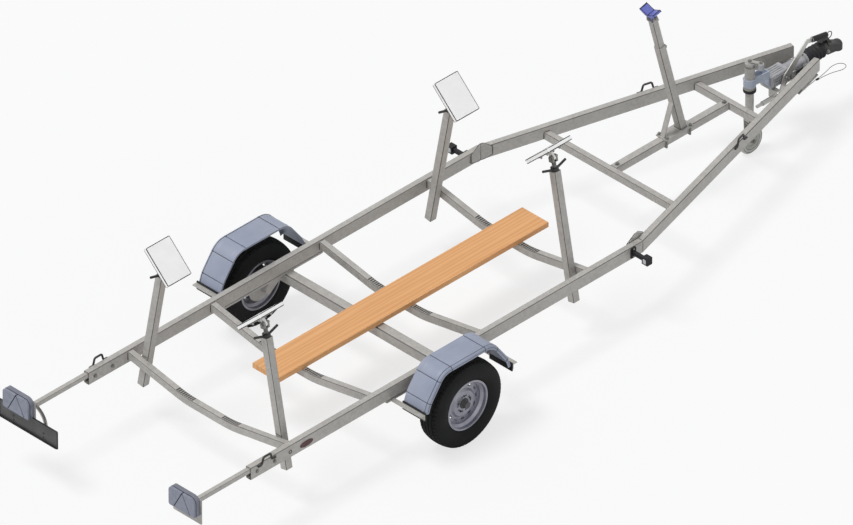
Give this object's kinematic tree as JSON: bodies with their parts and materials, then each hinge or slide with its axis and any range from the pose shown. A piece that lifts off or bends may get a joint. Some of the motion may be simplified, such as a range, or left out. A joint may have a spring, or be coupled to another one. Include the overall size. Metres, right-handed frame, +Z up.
{
  "type": "boat trailer",
  "caption": "Single-axle boat trailer with dipped cross-bars, four tilting pads on screw posts, bow post, overrun coupling and folding jockey wheel.",
  "frame": {"origin": "on the ground, midway between the rear lamps' faces and the coupling's nose", "axes": "+X forward to the coupling, +Y left, +Z up"},
  "size_m": [7.1302, 2.188, 1.682],
  "materials": {
    "galvanised": "hot-dip galvanised, matt grey",
    "zinc_plate": "bright zinc plated",
    "black_steel": "satin black paint",
    "cast_zinc": "plated casting",
    "black_casting": "black painted casting",
    "dark_steel": "dark painted steel",
    "tyre": "black rubber",
    "rim": "silver painted steel",
    "hub": "cast hub and drum",
    "guard": "blue-grey moulded plastic",
    "strip": "black rubber strip",
    "pad": "white plastic pad",
    "plank": "oiled pine plank",
    "lamp": "blue-grey lamp body",
    "marker": "marker lens",
    "board": "blank dark board",
    "boot": "black rubber bellows",
    "bow_block": "blue urethane",
    "wire": "black plastic coated steel wire",
    "jockey_tyre": "solid rubber tyre"
  },
  "bodies": {
    "frame": {"rails": "galvanised", "drawbar_arms": "galvanised", "kink_plates": "galvanised", "cradle_bar_1": "galvanised", "cradle_bar_2": "galvanised", "cradle_bar_3": "galvanised", "cradle_bar_4": "galvanised", "arm_bars": "galvanised", "centre_beam": "galvanised", "keel_plank": "plank", "axle_beam": "galvanised", "axle_shoes": "galvanised", "suspension_arms": "galvanised", "mudguard_left": "guard", "mudguard_right": "guard", "guard_strips": "strip", "guard_bars": "galvanised", "pad_posts": "galvanised", "nut_bars": "black_steel", "marker_arms": "strip", "marker_lamps": "marker", "lashing_eyes": "galvanised", "bow_base": "galvanised", "bow_post": "galvanised", "bow_brace": "galvanised", "hitch_plate": "zinc_plate", "overrun_housing": "cast_zinc", "bellows": "boot", "jockey_clamp": "dark_steel", "jockey_tube": "galvanised", "brake_strut": "zinc_plate", "breakaway_cable": "wire", "cable_ferrule": "zinc_plate"},
    "wheel_left": {"tyre_left": "tyre", "rim_left": "rim", "hub_left": "hub"},
    "wheel_right": {"tyre_right": "tyre", "rim_right": "rim", "hub_right": "hub"},
    "coupling": {"draw_tube": "zinc_plate", "coupling_head": "black_casting"},
    "handbrake": {"handbrake_lever": "black_steel"},
    "jockey_leg": {"jockey_leg": "galvanised"},
    "jockey_fork": {"jockey_fork": "galvanised"},
    "jockey_wheel": {"jockey_wheel": "jockey_tyre"},
    "bow_slide": {"bow_slide": "galvanised"},
    "bow_block": {"bow_block": "bow_block"},
    "lamps_left": {"lamp_bar_left": "galvanised", "tail_lamp_left": "lamp", "number_board": "board"},
    "lamps_right": {"lamp_bar_right": "galvanised", "tail_lamp_right": "lamp"},
    "spindle_rear_left": {"spindle_rear_left": "galvanised"},
    "pad_rear_left": {"pad_rear_left": "pad"},
    "spindle_rear_right": {"spindle_rear_right": "galvanised"},
    "pad_rear_right": {"pad_rear_right": "pad"},
    "spindle_front_left": {"spindle_front_left": "galvanised"},
    "pad_front_left": {"pad_front_left": "pad"},
    "spindle_front_right": {"spindle_front_right": "galvanised"},
    "pad_front_right": {"pad_front_right": "pad"}
  },
  "joints": [
    {"name": "overrun_slide", "type": "slide", "parent": "frame", "child": "coupling", "axis": [-1, 0, 0], "range_m": [0, 0.08], "stiffness_N_per_m": 3000, "deforming": ["bellows"]},
    {"name": "handbrake_pull", "type": "hinge", "parent": "frame", "child": "handbrake", "pos_m": [2.957, -0.069, 0.521], "axis": [0, -1, 0], "range_deg": [0, 55]},
    {"name": "jockey_wind", "type": "slide", "parent": "frame", "child": "jockey_leg", "axis": [0, 0, 1], "range_m": [-0.06, 0.13]},
    {"name": "jockey_fold", "type": "hinge", "parent": "jockey_leg", "child": "jockey_fork", "pos_m": [2.669, 0, 0.28], "axis": [0, 1, 0], "range_deg": [0, 64]},
    {"name": "jockey_wheel_spin", "type": "hinge", "parent": "jockey_fork", "child": "jockey_wheel", "pos_m": [2.679, 0, 0.104], "axis": [0, 1, 0], "continuous": true},
    {"name": "bow_post_slide", "type": "slide", "parent": "frame", "child": "bow_slide", "axis": [-0.2639, 0, 0.9646], "range_m": [-0.2, 0.12]},
    {"name": "bow_block_tilt", "type": "hinge", "parent": "bow_slide", "child": "bow_block", "pos_m": [1.70759, 0, 1.60526], "axis": [0, 1, 0], "range_deg": [-25, 25]},
    {"name": "wheel_left_spin", "type": "hinge", "parent": "frame", "child": "wheel_left", "pos_m": [-1.125, 0.99, 0.325], "axis": [0, 1, 0], "continuous": true},
    {"name": "lamp_bar_left_slide", "type": "slide", "parent": "frame", "child": "lamps_left", "axis": [-1, 0, 0], "range_m": [-0.5, 0.15]},
    {"name": "wheel_right_spin", "type": "hinge", "parent": "frame", "child": "wheel_right", "pos_m": [-1.125, -0.99, 0.325], "axis": [0, 1, 0], "continuous": true},
    {"name": "lamp_bar_right_slide", "type": "slide", "parent": "frame", "child": "lamps_right", "axis": [-1, 0, 0], "range_m": [-0.5, 0.15]},
    {"name": "spindle_rear_left_wind", "type": "slide", "parent": "frame", "child": "spindle_rear_left", "axis": [0, -0.1848, 0.9828], "range_m": [-0.03, 0.15]},
    {"name": "pad_rear_left_tilt", "type": "hinge", "parent": "spindle_rear_left", "child": "pad_rear_left", "pos_m": [-2.47, 0.48334, 1.38702], "axis": [1, 0, 0], "range_deg": [-20, 20]},
    {"name": "spindle_rear_right_wind", "type": "slide", "parent": "frame", "child": "spindle_rear_right", "axis": [0, 0.1848, 0.9828], "range_m": [-0.03, 0.15]},
    {"name": "pad_rear_right_tilt", "type": "hinge", "parent": "spindle_rear_right", "child": "pad_rear_right", "pos_m": [-2.47, -0.48334, 1.38702], "axis": [1, 0, 0], "range_deg": [-20, 20]},
    {"name": "spindle_front_left_wind", "type": "slide", "parent": "frame", "child": "spindle_front_left", "axis": [0, -0.1848, 0.9828], "range_m": [-0.03, 0.15]},
    {"name": "pad_front_left_tilt", "type": "hinge", "parent": "spindle_front_left", "child": "pad_front_left", "pos_m": [0.377, 0.48334, 1.38702], "axis": [1, 0, 0], "range_deg": [-20, 20]},
    {"name": "spindle_front_right_wind", "type": "slide", "parent": "frame", "child": "spindle_front_right", "axis": [0, 0.1848, 0.9828], "range_m": [-0.03, 0.15]},
    {"name": "pad_front_right_tilt", "type": "hinge", "parent": "spindle_front_right", "child": "pad_front_right", "pos_m": [0.377, -0.48334, 1.38702], "axis": [1, 0, 0], "range_deg": [-20, 20]}
  ]
}
